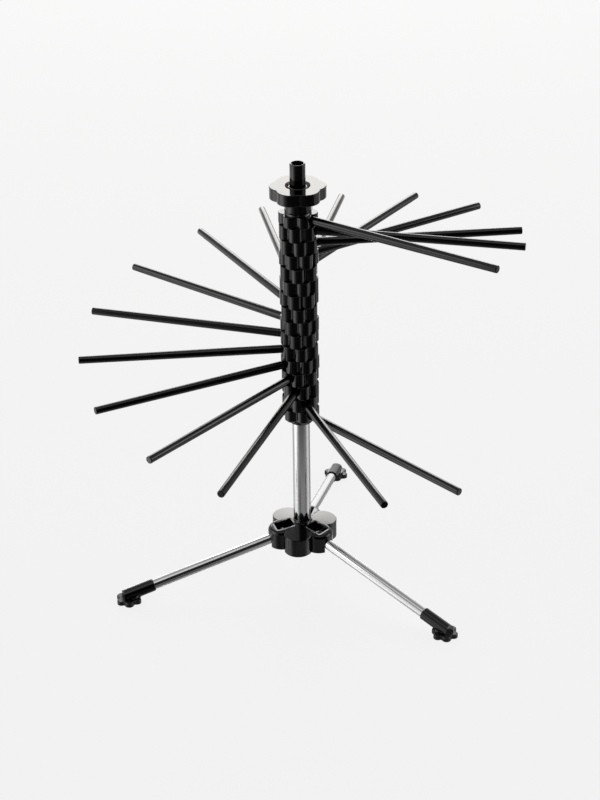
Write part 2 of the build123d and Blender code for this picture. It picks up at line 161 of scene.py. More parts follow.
def turned_rows(profile, columns, start, along):
    """Grid of a turned shape: each (distance, radius) of the profile is swept round the axis
    that leaves the start in the given direction."""
    along = np.asarray(along, float) / np.linalg.norm(along)
    side = np.cross(along, (0, 0, 1.0) if abs(along[2]) < 0.9 else (1.0, 0, 0))
    side /= np.linalg.norm(side)
    other = np.cross(along, side)
    turns = steps(0, 2 * pi, columns + 1)[:-1]
    rim = np.cos(turns)[:, None] * side + np.sin(turns)[:, None] * other
    profile = np.asarray(profile, float)
    return (np.asarray(start) + profile[:, None, :1] * along) + profile[:, None, 1:2] * rim


def window_rows(profile, azimuth, middle, half_length, half_width, corner, height, slope):
    """Grid of a rim round a window: one closed row of points for each (offset, rise) of the profile.

    A row follows a rounded rectangle, moved outward by the offset, that lies along the azimuth.
    Its height is that of the sloping top at the window's edge, height - slope * reach, plus the rise.
    """
    stops = []
    signs = ((1, 1), (-1, 1), (-1, -1), (1, -1))
    for k, (along, across) in enumerate(signs):
        here = np.array([along * (half_length - corner), across * (half_width - corner)])
        after = signs[(k + 1) % 4]
        there = np.array([after[0] * (half_length - corner), after[1] * (half_width - corner)])
        stops += [(here[0], here[1], radians(90 * k) + a) for a in steps(0, pi / 2, 9)]
        for share in steps(0, 1, 12)[1:-1]:
            place = here + (there - here) * share
            stops.append((place[0], place[1], radians(90 * (k + 1))))
    x, y, turn = np.array(stops).T
    edge = middle + x + corner * np.cos(turn)
    points = np.empty((len(profile), len(x), 3))
    for i, (offset, rise) in enumerate(profile):
        reach = middle + x + (corner + offset) * np.cos(turn)
        side = y + (corner + offset) * np.sin(turn)
        points[i, :, 0] = reach * cos(azimuth) - side * sin(azimuth)
        points[i, :, 1] = reach * sin(azimuth) + side * cos(azimuth)
        points[i, :, 2] = height - slope * edge + rise
    return points


def arc(middle, radius, first, last, count):
    """Points on a quarter or less of a circle, as (distance, radius) pairs; angles in degrees."""
    angles = np.radians(steps(first, last, count))
    return [(middle[0] + radius * cos(a), middle[1] + radius * sin(a)) for a in angles]


def side_rows(bottom, top, edge, count):
    """Rows (inset, height) up a moulding's side, with both its edges rounded by a quarter circle
    and a row close beside each arc, which keeps the flats flat."""
    bend = np.radians(steps(0, 90, count))
    low = [(edge * (1 - sin(a)), bottom + edge * (1 - cos(a))) for a in bend]
    high = [(edge * (1 - cos(a)), top - edge * (1 - sin(a))) for a in bend]
    return (
        [(edge + SUPPORT, bottom)] + low
        + [(0.0, bottom + edge + SUPPORT), (0.0, top - edge - SUPPORT)]
        + high + [(edge + SUPPORT, top)]
    )


def surface(name, grid, body, nodes, closed=False, sharp=40.0):
    """Mesh over a grid whose rows close on themselves. With closed set the last row joins the
    first, and otherwise the two end rows shrink to a point each. Faces point outward."""
    rows, columns = grid.shape[:2]
    if closed:
        points = grid.reshape(-1, 3)
        i = np.arange(rows)
        after = (i + 1) % rows
    else:
        points = np.vstack([grid[0].mean(axis=0), grid.reshape(-1, 3), grid[-1].mean(axis=0)])
        i = np.arange(rows - 1)
        after = i + 1
    j = np.arange(columns)
    beside = (j + 1) % columns
    shift = 0 if closed else 1
    quads = np.stack([
        shift + i[:, None] * columns + j, shift + i[:, None] * columns + beside,
        shift + after[:, None] * columns + beside, shift + after[:, None] * columns + j,
    ], axis=-1).reshape(-1, 4)
    faces = quads.tolist()
    if not closed:
        last = len(points) - 1
        faces += np.stack([np.zeros(columns, int), 1 + beside, 1 + j], axis=-1).tolist()
        base = 1 + (rows - 1) * columns
        faces += np.stack([np.full(columns, last), base + j, base + beside], axis=-1).tolist()
    corners = points[quads]
    volume = np.einsum("ij,ij->i", corners[:, 0], np.cross(corners[:, 1], corners[:, 2])).sum()
    volume += np.einsum("ij,ij->i", corners[:, 0], np.cross(corners[:, 2], corners[:, 3])).sum()
    if not closed:
        ends = points[np.array(faces[len(quads):])]
        volume += np.einsum("ij,ij->i", ends[:, 0], np.cross(ends[:, 1], ends[:, 2])).sum()
    if volume < 0:
        faces = [face[::-1] for face in faces]
    mesh = bpy.data.meshes.new(name)
    mesh.from_pydata(points.tolist(), [], faces)
    mesh.polygons.foreach_set("use_smooth", np.ones(len(faces), bool))
    piece = bpy.data.objects.new(name, mesh)
    bpy.context.scene.collection.objects.link(piece)
    wrap_uv(mesh, grid, closed)
    mesh.set_sharp_from_angle(angle=radians(sharp))
    mesh.update()
    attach(piece, body)
    if nodes:
        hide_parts(*nodes)
    return piece


def wrap_uv(mesh, grid, closed):
    """UV in metres: U round the piece and V along its profile, so that a pattern follows it."""
    rows, columns = grid.shape[:2]
    shift = 0 if closed else 1
    round_length = np.linalg.norm(np.diff(grid, axis=1, append=grid[:, :1]), axis=2).sum(axis=1).max()
    along = np.concatenate([[0], np.cumsum(np.linalg.norm(np.diff(grid, axis=0), axis=2).mean(axis=1))])
    loop_vertices = np.empty(len(mesh.loops), int)
    mesh.loops.foreach_get("vertex_index", loop_vertices)
    starts = np.empty(len(mesh.polygons), int)
    mesh.polygons.foreach_get("loop_start", starts)
    totals = np.empty(len(mesh.polygons), int)
    mesh.polygons.foreach_get("loop_total", totals)
    inner = np.clip(loop_vertices - shift, 0, rows * columns - 1)
    u = (inner % columns).astype(float)
    v = along[inner // columns]
    face = np.repeat(np.arange(len(starts)), totals)
    top = np.maximum.reduceat(u, starts)
    low = np.minimum.reduceat(u, starts)
    wraps = (top - low > columns / 2)[face]
    u = np.where(wraps & (u < columns / 2), u + columns, u) * round_length / columns
    layer = mesh.uv_layers.new(name="Surface")
    layer.data.foreach_set("uv", np.stack([u, v], axis=-1).ravel())


# Node helpers and shared groups

def new_group(name, inputs, outputs):
    """An empty shader group with the named sockets; each socket is (name, type, default)."""
    group = bpy.data.node_groups.new(name, "ShaderNodeTree")
    for label, kind, default in inputs:
        socket = group.interface.new_socket(label, in_out="INPUT", socket_type="NodeSocket" + kind)
        if default is not None:
            socket.default_value = default
    for label, kind in outputs:
        group.interface.new_socket(label, in_out="OUTPUT", socket_type="NodeSocket" + kind)
    return group, group.nodes.new("NodeGroupInput"), group.nodes.new("NodeGroupOutput")


def math(tree, kind, first, second=None, clamp=False):
    """A Math node over two inputs, each a socket or a number."""
    node = tree.nodes.new("ShaderNodeMath")
    node.operation = kind
    node.use_clamp = clamp
    for socket, value in zip(node.inputs, (first, second)):
        if value is None:
            continue
        if isinstance(value, (int, float)):
            socket.default_value = value
        else:
            tree.links.new(value, socket)
    return node.outputs[0]


def noise(tree, vector, scale, detail, roughness=0.5, distortion=0.0):
    """A Noise Texture's value on the given coordinates."""
    node = tree.nodes.new("ShaderNodeTexNoise")
    node.inputs["Scale"].default_value = scale
    node.inputs["Detail"].default_value = detail
    node.inputs["Roughness"].default_value = roughness
    node.inputs["Distortion"].default_value = distortion
    tree.links.new(vector, node.inputs["Vector"])
    return node.outputs["Fac"]


def stretch(tree, vector, scale):
    """Coordinates scaled along each axis, which draws a pattern out."""
    node = tree.nodes.new("ShaderNodeMapping")
    node.inputs["Scale"].default_value = scale
    tree.links.new(vector, node.inputs["Vector"])
    return node.outputs["Vector"]


def ramp(tree, value, low, high, from_value=0.0, to_value=1.0):
    """Value carried from the range low..high to from..to, and held there beyond."""
    node = tree.nodes.new("ShaderNodeMapRange")
    node.inputs["From Min"].default_value = low
    node.inputs["From Max"].default_value = high
    node.inputs["To Min"].default_value = from_value
    node.inputs["To Max"].default_value = to_value
    tree.links.new(value, node.inputs["Value"])
    return node.outputs["Result"]


def blend(tree, share, first, second):
    """Mix of two colours by a share; each colour is a socket or a tuple."""
    node = tree.nodes.new("ShaderNodeMix")
    node.data_type = "RGBA"
    tree.links.new(share, node.inputs["Factor"])
    for socket, value in ((node.inputs[6], first), (node.inputs[7], second)):
        if isinstance(value, tuple):
            socket.default_value = value
        else:
            tree.links.new(value, socket)
    return node.outputs[2]


def dust_group():
    """Dust: fine pale specks and lint, more where the surface faces up."""
    group, inputs, outputs = new_group(
        "Settled dust",
        [("Vector", "Vector", None), ("Amount", "Float", 0.3), ("Speck scale", "Float", 900.0)],
        [("Mask", "Float")],
    )
    speck = group.nodes.new("ShaderNodeTexVoronoi")
    group.links.new(inputs.outputs["Vector"], speck.inputs["Vector"])
    group.links.new(inputs.outputs["Speck scale"], speck.inputs["Scale"])
    dots = ramp(group, speck.outputs["Distance"], 0.10, 0.16, 1.0, 0.0)
    patches = noise(group, inputs.outputs["Vector"], 160.0, 2.0)
    where = ramp(group, patches, 0.55, 0.7)
    facing = group.nodes.new("ShaderNodeNewGeometry")
    split = group.nodes.new("ShaderNodeSeparateXYZ")
    group.links.new(facing.outputs["Normal"], split.inputs["Vector"])
    up = ramp(group, split.outputs["Z"], 0.0, 0.8, 0.15, 1.0)
    mask = math(group, "MULTIPLY", math(group, "MULTIPLY", dots, where), up)
    group.links.new(math(group, "MULTIPLY", mask, inputs.outputs["Amount"]), outputs.inputs["Mask"])
    return group


def moulding_group():
    """Moulded plastic: faint cloudiness in the colour, rubbed edges, a roughness that drifts
    with handling, and a height of slow ripple plus fine grain."""
    group, inputs, outputs = new_group(
        "Moulded surface",
        [
            ("Vector", "Vector", None), ("Colour", "Color", (0.01, 0.01, 0.011, 1)),
            ("Rubbed colour", "Color", (0.05, 0.05, 0.052, 1)), ("Edge rub", "Float", 0.4),
            ("Roughness", "Float", 0.15), ("Roughness drift", "Float", 0.08),
            ("Grain scale", "Float", 3000.0), ("Grain share", "Float", 0.2), ("Dust", "Float", 0.2),
        ],
        [("Colour", "Color"), ("Roughness", "Float"), ("Height", "Float")],
    )
    vector = inputs.outputs["Vector"]
    cloud = noise(group, vector, 60.0, 3.0, 0.6)
    shade = ramp(group, cloud, 0.3, 0.7, 0.0, 0.35)
    lighter = blend(group, shade, inputs.outputs["Colour"], inputs.outputs["Rubbed colour"])
    base = blend(group, ramp(group, cloud, 0.3, 0.7, 0.15, 0.5), inputs.outputs["Colour"], lighter)
    geometry = group.nodes.new("ShaderNodeNewGeometry")
    edge = ramp(group, geometry.outputs["Pointiness"], 0.53, 0.62)
    broken = math(group, "MULTIPLY", edge, ramp(group, noise(group, vector, 900.0, 4.0, 0.7), 0.42, 0.6))
    rub = math(group, "MULTIPLY", broken, inputs.outputs["Edge rub"])
    worn = blend(group, rub, base, inputs.outputs["Rubbed colour"])
    dust = group.nodes.new("ShaderNodeGroup")
    dust.node_tree = bpy.data.node_groups["Settled dust"]
    group.links.new(vector, dust.inputs["Vector"])
    group.links.new(inputs.outputs["Dust"], dust.inputs["Amount"])
    dusted = blend(group, dust.outputs["Mask"], worn, (0.32, 0.31, 0.29, 1))
    group.links.new(dusted, outputs.inputs["Colour"])
    handling = noise(group, vector, 110.0, 5.0, 0.65, 0.4)
    drift = math(group, "MULTIPLY", ramp(group, handling, 0.4, 0.75), inputs.outputs["Roughness drift"])
    scuffs = noise(group, stretch(group, vector, (4.0, 1.0, 1.0)), 700.0, 3.0)
    scuffed = math(group, "MULTIPLY", ramp(group, scuffs, 0.62, 0.72), inputs.outputs["Roughness drift"])
    rough = math(group, "ADD", math(group, "ADD", inputs.outputs["Roughness"], drift), scuffed)
    rough = math(group, "ADD", rough, math(group, "MULTIPLY", dust.outputs["Mask"], 0.5), clamp=True)
    group.links.new(rough, outputs.inputs["Roughness"])
    ripple = math(group, "MULTIPLY", noise(group, vector, 140.0, 1.0), 1.0)
    grain_node = group.nodes.new("ShaderNodeTexNoise")
    grain_node.inputs["Detail"].default_value = 2.0
    group.links.new(vector, grain_node.inputs["Vector"])
    group.links.new(inputs.outputs["Grain scale"], grain_node.inputs["Scale"])
    grain = math(group, "MULTIPLY", grain_node.outputs["Fac"], inputs.outputs["Grain share"])
    height = math(group, "ADD", math(group, "ADD", ripple, grain), dust.outputs["Mask"])
    group.links.new(height, outputs.inputs["Height"])
    return group


def drawn_metal_group():
    """Drawn or rolled metal: fine lines along V, smudges and small dull spots."""
    group, inputs, outputs = new_group(
        "Drawn metal",
        [
            ("Vector", "Vector", None), ("Colour", "Color", (0.8, 0.8, 0.81, 1)),
            ("Dull colour", "Color", (0.6, 0.6, 0.61, 1)), ("Roughness", "Float", 0.1),
            ("Smudge", "Float", 0.1), ("Line depth", "Float", 0.3),
        ],
        [("Colour", "Color"), ("Roughness", "Float"), ("Height", "Float")],
    )
    vector = inputs.outputs["Vector"]
    lines = noise(group, stretch(group, vector, (1.0, 0.02, 1.0)), 2600.0, 3.0, 0.6)
    broad = noise(group, stretch(group, vector, (1.0, 0.08, 1.0)), 500.0, 2.0)
    smudge = ramp(group, noise(group, vector, 55.0, 5.0, 0.65, 0.6), 0.45, 0.75)
    spots = ramp(group, noise(group, vector, 1400.0, 2.0), 0.7, 0.76)
    dull = math(group, "MAXIMUM", math(group, "MULTIPLY", smudge, 0.5), spots)
    tint = math(group, "MULTIPLY", math(group, "ADD", dull, ramp(group, lines, 0.4, 0.8)), 0.35, clamp=True)
    tinted = blend(group, tint, inputs.outputs["Colour"], inputs.outputs["Dull colour"])
    group.links.new(tinted, outputs.inputs["Colour"])
    marks = math(group, "ADD", smudge, math(group, "MULTIPLY", spots, 1.5))
    extra = math(group, "MULTIPLY", marks, inputs.outputs["Smudge"])
    line_rough = math(group, "MULTIPLY", ramp(group, broad, 0.35, 0.7), 0.04)
    rough = math(group, "ADD", math(group, "ADD", inputs.outputs["Roughness"], extra), line_rough, clamp=True)
    group.links.new(rough, outputs.inputs["Roughness"])
    group.links.new(math(group, "MULTIPLY", lines, inputs.outputs["Line depth"]), outputs.inputs["Height"])
    return group


def finish_material(
        name, group, values, coordinates="Object", metallic=0.0, bump=0.1, depth=0.00005, **constants):
    """A material whose Principled shader takes colour, roughness and bump from a shared group."""
    material = bpy.data.materials.new(name)
    material.use_nodes = True
    tree = material.node_tree
    shader = tree.nodes["Principled BSDF"]
    shader.inputs["Metallic"].default_value = metallic
    for socket, value in constants.items():
        shader.inputs[socket.replace("_", " ")].default_value = value
    place = tree.nodes.new("ShaderNodeTexCoord")
    holder = tree.nodes.new("ShaderNodeGroup")
    holder.node_tree = group
    holder.label = group.name
    tree.links.new(place.outputs[coordinates], holder.inputs["Vector"])
    for label, value in values.items():
        holder.inputs[label].default_value = value
    tree.links.new(holder.outputs["Colour"], shader.inputs["Base Color"])
    tree.links.new(holder.outputs["Roughness"], shader.inputs["Roughness"])
    relief = tree.nodes.new("ShaderNodeBump")
    relief.inputs["Strength"].default_value = bump
    relief.inputs["Distance"].default_value = depth
    tree.links.new(holder.outputs["Height"], relief.inputs["Height"])
    tree.links.new(relief.outputs["Normal"], shader.inputs["Normal"])
    return material


def painted_rim_shade(material, height):
    """A copy of a material whose colour is dull above the height: painted shade that darkens the tube's top
    rim under the knob.
    """
    copy = material.copy()
    copy.name = material.name + " with painted rim shade"
    tree = copy.node_tree
    shader = tree.nodes["Principled BSDF"]
    plain = shader.inputs["Base Color"].links[0].from_socket
    z = axes_of(tree, "Object")[2]
    # Painted shade: above the height the colour turns dark grey.
    tree.links.new(blend(tree, ramp(tree, z, height, height + 0.1 * MM), plain, (0.1, 0.1, 0.102, 1)),
                   shader.inputs["Base Color"])
    return copy


def material_on(objects, material):
    """Puts one material alone on each object."""
    for thing in objects:
        thing.data.materials.clear()
        thing.data.materials.append(material)


def cad(*names):
    """The CAD objects of the named nodes."""
    return [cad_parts[name] for name in names]


# Settings

class RackSizes(bpy.types.PropertyGroup):
    """Sizes of the pieces that are made here; they repeat the CAD's."""
    ring_lobes: bpy.props.IntProperty(
        name="Ring lobes", description="Lobes round each ring", default=6, min=3)
    ring_lobe_radius: bpy.props.FloatProperty(
        name="Ring lobe radius", description="Radius of one lobe of a ring", default=0.0072, unit="LENGTH")
    ring_edge: bpy.props.FloatProperty(
        name="Ring edge", description="Rounding of a ring's edges", default=0.0005, unit="LENGTH")
    ring_valley: bpy.props.FloatProperty(
        name="Ring valley", description="Hollow radius between two lobes of a ring", default=0.0012,
        unit="LENGTH")
    ring_bevel: bpy.props.FloatProperty(
        name="Ring bevel", description="Bevel under the lowest ring", default=0.0024, unit="LENGTH")
    arm_root_radius: bpy.props.FloatProperty(
        name="Rod root radius", description="Radius of a rod where it leaves its ring", default=0.0043,
        unit="LENGTH")
    arm_straight: bpy.props.FloatProperty(
        name="Rod straight part", description="Reach from which a rod tapers", default=0.0194, unit="LENGTH")
    arm_tip_radius: bpy.props.FloatProperty(
        name="Rod tip radius", description="Radius of a rod at its tip", default=0.00375, unit="LENGTH")
    arm_tip_round: bpy.props.FloatProperty(
        name="Rod tip rounding", description="Rounding of a rod's end", default=0.0008, unit="LENGTH")
    tube_wall: bpy.props.FloatProperty(
        name="Mast wall", description="Wall of the mast's tube", default=0.00095, unit="LENGTH")
    leg_radius: bpy.props.FloatProperty(
        name="Leg radius", description="Radius of a leg's tube", default=0.00525, unit="LENGTH")
    leg_wall: bpy.props.FloatProperty(
        name="Leg wall", description="Wall of a leg's tube", default=0.0008, unit="LENGTH")
    knob_lobe_radius: bpy.props.FloatProperty(
        name="Knob lobe radius", description="Radius of one lobe of the knob", default=0.0142, unit="LENGTH")
    knob_valley: bpy.props.FloatProperty(
        name="Knob valley", description="Hollow radius between two lobes of the knob", default=0.0026,
        unit="LENGTH")
    knob_edge: bpy.props.FloatProperty(
        name="Knob edge", description="Rounding of the knob's rims", default=0.0008, unit="LENGTH")
    knob_dish: bpy.props.FloatProperty(
        name="Knob dish", description="Radius of the recess in the knob's top", default=0.0123, unit="LENGTH")
    knob_dish_depth: bpy.props.FloatProperty(
        name="Knob dish depth", description="Depth of the recess in the knob's top", default=0.0028,
        unit="LENGTH")
    knob_thread_height: bpy.props.FloatProperty(
        name="Knob thread height", description="Height of the threaded bore in the knob", default=0.0209,
        unit="LENGTH")
    rod_dome: bpy.props.FloatProperty(
        name="Transfer rod rounding", description="Rounding of the transfer rod's top", default=0.0014,
        unit="LENGTH")
    rod_mouth: bpy.props.FloatProperty(
        name="Transfer rod mouth", description="Radius of the hollow in the transfer rod's top",
        default=0.0058, unit="LENGTH")
    rod_mouth_depth: bpy.props.FloatProperty(
        name="Transfer rod depth", description="Depth of the hollow in the transfer rod's top",
        default=0.014, unit="LENGTH")
    hub_rise: bpy.props.FloatProperty(
        name="Hub rise", description="Height of the hub at the ends of its lobes", default=0.02,
        unit="LENGTH")
    window_inner: bpy.props.FloatProperty(
        name="Window inner end", description="Reach of a window's inner end", default=0.0109, unit="LENGTH")
    window_outer: bpy.props.FloatProperty(
        name="Window outer end", description="Reach of a window's outer end", default=0.0295, unit="LENGTH")
    window_width: bpy.props.FloatProperty(
        name="Window width", description="Width of a window", default=0.014, unit="LENGTH")
    window_corner: bpy.props.FloatProperty(
        name="Window corner", description="Corner radius of a window", default=0.001, unit="LENGTH")


class RackColours(bpy.types.PropertyGroup):
    """Colours of the finishes and of the floor."""
    moulding: bpy.props.FloatVectorProperty(
        name="Moulding", description="Colour of the polished mouldings", subtype="COLOR", size=4,
        default=(0.0018, 0.0018, 0.002, 1.0))
    rubbed: bpy.props.FloatVectorProperty(
        name="Rubbed moulding", description="Colour where a moulding is rubbed", subtype="COLOR", size=4,
        default=(0.008, 0.008, 0.0085, 1.0))
    steel: bpy.props.FloatVectorProperty(
        name="Steel", description="Colour of the polished tubes", subtype="COLOR", size=4,
        default=(0.72, 0.72, 0.73, 1.0))
    floor: bpy.props.FloatVectorProperty(
        name="Floor", description="Colour of the floor as the camera sees it", subtype="COLOR", size=4,
        default=(0.92, 0.92, 0.92, 1.0))
    lamp_level: bpy.props.FloatProperty(
        name="Lamp level", description="Strength of all the lamps together", default=1.0, min=0.0)


# Operators: one for each piece or group of like pieces

class RACK_OT_finishes(bpy.types.Operator):
    """Make the shared groups and the materials"""
    bl_idname = "rack.finishes"
    bl_label = "Make finishes"

    def execute(self, context):
        colours = context.scene.rack_colours
        dust_group()
        moulding = moulding_group()
        metal = drawn_metal_group()
        black, rubbed = tuple(colours.moulding), tuple(colours.rubbed)
        finish_material(
            "Polished moulding", moulding,
            {"Colour": black, "Rubbed colour": rubbed, "Edge rub": 0.5, "Roughness": 0.10,
             "Roughness drift": 0.05, "Grain scale": 2600.0, "Grain share": 0.04, "Dust": 0.015},
            bump=0.12, depth=0.0001, IOR=1.5)
        finish_material(
            "Rod moulding", moulding,
            {"Colour": black, "Rubbed colour": rubbed, "Edge rub": 0.6, "Roughness": 0.16,
             "Roughness drift": 0.06, "Grain scale": 2200.0, "Grain share": 0.05, "Dust": 0.015},
            bump=0.12, depth=0.0001, IOR=1.5)
        finish_material(
            "Plain moulding", moulding,
            {"Colour": (0.012, 0.012, 0.0125, 1), "Rubbed colour": (0.05, 0.05, 0.052, 1), "Edge rub": 0.5,
             "Roughness": 0.42, "Roughness drift": 0.12, "Grain scale": 1800.0, "Grain share": 0.6,
             "Dust": 0.2},
            bump=0.3, depth=0.0001, IOR=1.5)
        finish_material(
            "Pad rubber", moulding,
            {"Colour": (0.005, 0.005, 0.005, 1), "Rubbed colour": (0.03, 0.03, 0.029, 1), "Edge rub": 0.7,
             "Roughness": 0.34, "Roughness drift": 0.15, "Grain scale": 2400.0, "Grain share": 0.5,
             "Dust": 0.12},
            bump=0.25, depth=0.0001, IOR=1.5)
        steel = tuple(colours.steel)
        finish_material(
            "Polished tube", metal,
            {"Colour": steel, "Dull colour": (0.56, 0.56, 0.57, 1), "Roughness": 0.06,
             "Smudge": 0.06, "Line depth": 0.25},
            coordinates="UV", metallic=1.0, bump=0.05, depth=0.00004)
        finish_material(
            "Zinc bright", metal,
            {"Colour": (0.6, 0.6, 0.61, 1), "Dull colour": (0.42, 0.42, 0.43, 1), "Roughness": 0.22,
             "Smudge": 0.16, "Line depth": 0.5},
            metallic=1.0, bump=0.15, depth=0.00005)
        return {"FINISHED"}


class RACK_OT_rings(bpy.types.Operator):
    """Make the lobed rings, one on each arm"""
    bl_idname = "rack.rings"
    bl_label = "Make rings"

    def execute(self, context):
        sizes = context.scene.rack_sizes
        made = []
        nodes = sorted(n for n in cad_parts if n.startswith("ring_"))
        stack_bottom = min(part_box(node)[0][2] for node in nodes)
        for node in nodes:
            number = node[-2:]
            low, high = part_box(node)
            places = vertices_of(node)
            reach = np.hypot(places[:, 0], places[:, 1])
            tip, bore = reach.max(), reach.min()
            rows = [(1.0, i, 0.0, z) for i, z in side_rows(low[2], high[2], sizes.ring_edge, 4)]
            if low[2] < stack_bottom + MM:
                bevel = sizes.ring_bevel
                rows = [row for row in rows if row[3] > low[2] + bevel]
                rows = [(1.0, bevel + SUPPORT, 0.0, low[2]), (1.0, bevel, 0.0, low[2]),
                        (1.0, 0.0, 0.0, low[2] + bevel)] + rows
            rim = 0.15 * MM
            rows = [(0.0, 0.0, bore, low[2] + rim), (0.0, 0.0, bore + rim, low[2])] + rows
            rows += [(0.0, 0.0, bore + rim, high[2]), (0.0, 0.0, bore, high[2] - rim)]
            grid = lobed_rows(
                rows, 20 * sizes.ring_lobes, lobes=sizes.ring_lobes,
                reach=tip - sizes.ring_lobe_radius, radius=sizes.ring_lobe_radius,
                start=azimuth_of(f"rod_{number}") + pi / sizes.ring_lobes, hollow=sizes.ring_valley,
                core=0.0)
            made.append(surface(
                f"ring_moulding_{number}", grid, f"arm_{number}", [node], closed=True))
        material_on(made, bpy.data.materials["Polished moulding"])
        return {"FINISHED"}


class RACK_OT_rods(bpy.types.Operator):
    """Make the rods, one in each ring"""
    bl_idname = "rack.rods"
    bl_label = "Make rods"

    def execute(self, context):
        sizes = context.scene.rack_sizes
        made = []
        for node in sorted(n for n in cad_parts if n.startswith("rod_")):
            low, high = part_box(node)
            turn = azimuth_of(node)
            along = np.array([cos(turn), sin(turn), 0.0])
            places = vertices_of(node) @ along
            start, end = places.min(), places.max()
            root, tip, bend = sizes.arm_root_radius, sizes.arm_tip_radius, sizes.arm_tip_round
            straight = sizes.arm_straight
            profile = [(start, root * 0.6), (start, root), (straight, root)]
            profile += [(d, root + (tip - root) * (d - straight) / (end - bend - straight))
                        for d in steps(straight, end - bend, 12)[1:-1]]
            profile += arc((end - bend, tip - bend), bend, 90, 0, 7)
            profile += [(end, tip - bend - 0.1 * MM), (end, tip * 0.4)]
            middle = np.array([0.0, 0.0, (low[2] + high[2]) / 2])
            number = node[-2:]
            made.append(surface(
                f"rod_moulding_{number}", turned_rows(profile, 48, middle, along), f"arm_{number}", [node]))
        material_on(made, bpy.data.materials["Rod moulding"])
        return {"FINISHED"}


class RACK_OT_mast(bpy.types.Operator):
    """Make the mast's tube and the transfer rod inside it"""
    bl_idname = "rack.mast"
    bl_label = "Make mast"

    def execute(self, context):
        sizes = context.scene.rack_sizes
        low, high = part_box("mast_tube")
        radius, wall, lip = high[0], sizes.tube_wall, sizes.tube_wall * 0.48
        inner = radius - wall
        profile = [(low[2], inner), (low[2], radius), (low[2] + 1 * MM, radius)]
        profile += [(z, radius) for z in steps(low[2], high[2] - lip, 14)[1:-1]]
        profile += [(high[2] - 2 * lip, radius)] + arc((high[2] - lip, radius - lip), lip, 90, 0, 8)
        profile += arc((high[2] - lip, inner + lip), lip, 0, -90, 8) + [(high[2] - 2 * lip, inner)]
        tube = surface("mast_polished_tube", turned_rows(profile, 96, (0, 0, 0), (0, 0, 1)), "stand",
                       ["mast_tube"], closed=True)
        # The mast tube's top rim gets painted shade in its colour.
        material_on([tube], painted_rim_shade(bpy.data.materials["Polished tube"], high[2] - 1.2 * lip))
        low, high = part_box("transfer_rod")
        radius, dome = high[0], sizes.rod_dome
        profile = [(low[2], radius * 0.5), (low[2], radius - 0.5 * MM), (low[2] + 0.5 * MM, radius)]
        profile += [(z, radius) for z in steps(low[2] + 1 * MM, high[2] - dome - 0.2 * MM, 12)]
        mouth, depth, lip = sizes.rod_mouth, sizes.rod_mouth_depth, 0.53 * MM
        profile += arc((high[2] - dome, radius - dome), dome, 90, 4, 11)
        profile += arc((high[2] - lip, mouth + lip), lip, 0, -90, 5)
        profile += [(high[2] - 2 * lip, mouth), (high[2] - depth + lip, mouth),
                    (high[2] - depth, mouth - lip),
                    (high[2] - depth, mouth * 0.3)]
        rod = surface("transfer_rod_moulding", turned_rows(profile, 96, (0, 0, 0), (0, 0, 1)), "transfer_rod",
                      ["transfer_rod"])
        material_on([rod], bpy.data.materials["Polished moulding"])
        return {"FINISHED"}


class RACK_OT_knob(bpy.types.Operator):
    """Make the clamp knob with its lobes, skirt and dished recess"""
    bl_idname = "rack.knob"
    bl_label = "Make knob"

    def execute(self, context):
        sizes = context.scene.rack_sizes
        low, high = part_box("clamp_knob")
        places = vertices_of("clamp_knob")
        reach = np.hypot(places[:, 0], places[:, 1])
        tip, bore = reach.max(), reach.min()
        skirt = reach[places[:, 2] < low[2] + 0.05 * MM].max()
        thread = reach[places[:, 2] < low[2] + 0.05 * MM].min()
        shelf = places[reach > tip - 0.5 * MM][:, 2].min()
        edge, near, lip = sizes.knob_edge, SUPPORT, 0.3 * MM
        bottom = shelf - 0.6 * MM
        thread_top = low[2] + sizes.knob_thread_height
        rows = [(0.0, 0.0, thread, low[2] + lip), (0.0, 0.0, thread + lip, low[2]),
                (0.0, 0.0, skirt - lip, low[2]), (0.0, 0.0, skirt, low[2] + lip),
                (0.0, 0.0, skirt, low[2] + lip + near), (0.0, 0.0, skirt, bottom - near),
                (0.0, 0.0, skirt + near, bottom)]
        rows += [(1.0, i, 0.0, z) for i, z in side_rows(bottom, high[2], edge, 6)]
        dish, dish_floor = sizes.knob_dish, high[2] - sizes.knob_dish_depth
        rows += [(0.0, 0.0, dish + 0.7 * MM, high[2]), (0.0, 0.0, dish + 0.4 * MM, high[2]),
                 (0.0, 0.0, dish, high[2] - 0.15 * MM), (0.0, 0.0, dish - 0.05 * MM, high[2] - 0.3 * MM),
                 (0.0, 0.0, bore + 0.1 * MM, dish_floor), (0.0, 0.0, bore, dish_floor - 0.1 * MM),
                 (0.0, 0.0, bore, thread_top), (0.0, 0.0, thread, thread_top)]
        grid = lobed_rows(
            rows, 180, lobes=6, reach=tip - sizes.knob_lobe_radius, radius=sizes.knob_lobe_radius,
            start=lobe_start_of("clamp_knob", 6), hollow=sizes.knob_valley, core=0.0)
        knob = surface("knob_moulding", grid, "knob", ["clamp_knob"], closed=True)
        material_on([knob], bpy.data.materials["Polished moulding"])
        return {"FINISHED"}


